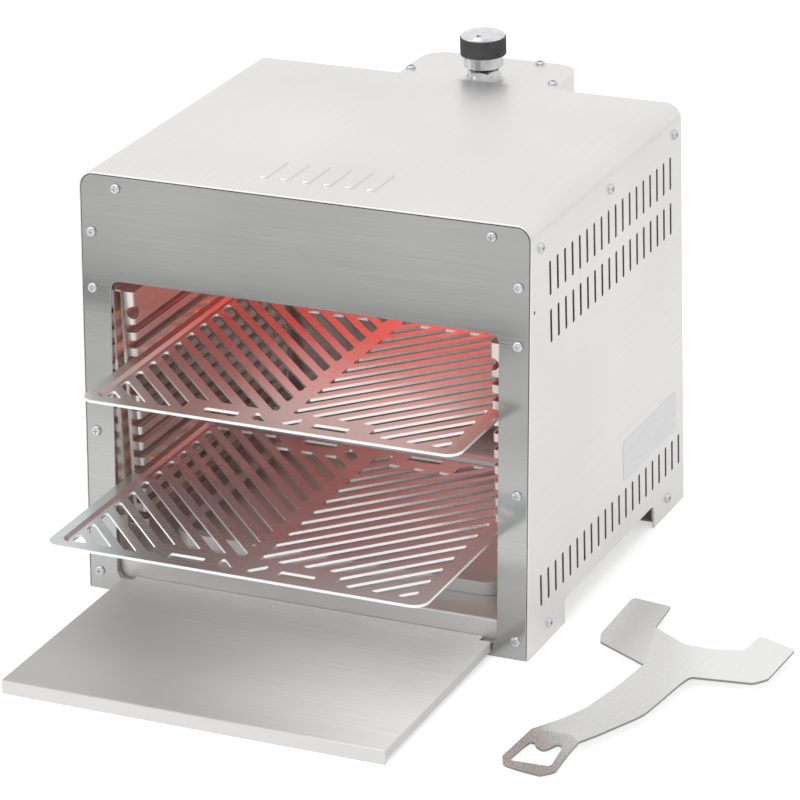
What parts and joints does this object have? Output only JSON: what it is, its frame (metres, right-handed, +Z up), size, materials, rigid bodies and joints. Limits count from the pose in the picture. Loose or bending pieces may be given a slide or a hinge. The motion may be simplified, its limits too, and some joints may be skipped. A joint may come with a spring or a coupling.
{
  "type": "tabletop broiler grill",
  "caption": "Open-fronted gas broiler grill in folded stainless sheet: overhead ceramic burner, slotted racks on side guides, drip pan, front shelf, rear knob and a rack lifter.",
  "frame": {"origin": "middle of the front panel's bottom edge, on the table that the grill stands on", "axes": "+X right seen from the front, +Y towards the back, +Z up"},
  "size_m": [0.6008, 0.638, 0.3889],
  "materials": {
    "cover_steel": "fine satin stainless sheet with sharp soft reflections",
    "front_steel": "satin stainless sheet, darker where it mirrors the room",
    "inner_steel": "bright rolled stainless sheet, reddened by the glow",
    "rack_steel": "satin stainless plate with bright cut edges",
    "shelf_steel": "satin stainless sheet",
    "lifter_steel": "satin stainless plate",
    "screw_steel": "bright stainless pan-head screws",
    "tile_ceramic": "porous perforated burner ceramic",
    "probe_ceramic": "glazed white insulator",
    "valve_brass": "machined brass",
    "nut_chrome": "bright nickel plate",
    "knob_chrome": "polished chrome",
    "knob_rubber": "matt black moulded grip",
    "pointer_paint": "black paint in a shallow recess",
    "igniter_plastic": "matt black moulded plastic",
    "lead_cover": "heatproof silicone cover",
    "spring_steel": "drawn spring wire",
    "plate_foil": "bare silvery plate"
  },
  "bodies": {
    "housing": {"outer_cover": "cover_steel", "front_panel": "front_steel", "rear_panel": "cover_steel", "base_tray": "inner_steel", "foot_brackets": "inner_steel", "right_liner": "inner_steel", "left_liner": "inner_steel", "rear_liner": "inner_steel", "ceiling_frame": "inner_steel", "heat_shield": "inner_steel", "right_rack_guide": "inner_steel", "left_rack_guide": "inner_steel", "burner_housing": "inner_steel", "burner_tiles": "tile_ceramic", "tile_clamp": "inner_steel", "mixing_tube": "inner_steel", "gas_box": "cover_steel", "gas_box_lid": "cover_steel", "gas_valve": "valve_brass", "gas_injector": "valve_brass", "gas_inlet": "valve_brass", "inlet_locknut": "valve_brass", "valve_washer": "nut_chrome", "valve_nut": "nut_chrome", "return_spring": "spring_steel", "piezo_igniter": "igniter_plastic", "igniter_electrode": "probe_ceramic", "thermocouple": "probe_ceramic", "igniter_lead": "lead_cover", "thermocouple_lead": "lead_cover", "label_plate": "plate_foil", "front_screws": "screw_steel", "side_screws": "screw_steel", "rear_screws": "screw_steel", "gas_box_screws": "screw_steel", "lid_screws": "screw_steel", "burner_screws": "screw_steel", "liner_screws": "screw_steel"},
    "upper_rack": {"upper_rack": "rack_steel"},
    "lower_rack": {"lower_rack": "rack_steel"},
    "drip_pan": {"drip_pan": "inner_steel"},
    "front_shelf": {"front_shelf": "shelf_steel"},
    "rack_lifter": {"rack_lifter": "lifter_steel"},
    "knob_push": {"thrust_collar": "nut_chrome"},
    "knob": {"valve_spindle": "valve_brass", "knob_skirt": "knob_chrome", "knob_band": "knob_rubber", "knob_cap": "knob_chrome", "knob_pointer": "pointer_paint"}
  },
  "joints": [
    {"name": "upper_rack_slide", "type": "slide", "parent": "housing", "child": "upper_rack", "axis": [0, -1, 0], "range_m": [-0.068, 0.157]},
    {"name": "lower_rack_slide", "type": "slide", "parent": "housing", "child": "lower_rack", "axis": [0, -1, 0], "range_m": [-0.138, 0.087]},
    {"name": "drip_pan_slide", "type": "slide", "parent": "housing", "child": "drip_pan", "axis": [0, -1, 0], "range_m": [-0.031, 0.2]},
    {"name": "front_shelf_lift", "type": "slide", "parent": "housing", "child": "front_shelf", "axis": [0, 0, 1], "range_m": [0, 0.05]},
    {"name": "rack_lifter_lift", "type": "slide", "parent": "housing", "child": "rack_lifter", "axis": [0, 0, 1], "range_m": [0, 0.1]},
    {"name": "knob_press", "type": "slide", "parent": "housing", "child": "knob_push", "axis": [0, 0, -1], "range_m": [0, 0.003], "stiffness_N_per_m": 2000, "springref_m": -0.004, "deforming": ["return_spring"]},
    {"name": "knob_turn", "type": "hinge", "parent": "knob_push", "child": "knob", "pos_m": [0, 0.39, 0.372], "axis": [0, 0, 1], "range_deg": [0, 210]}
  ]
}
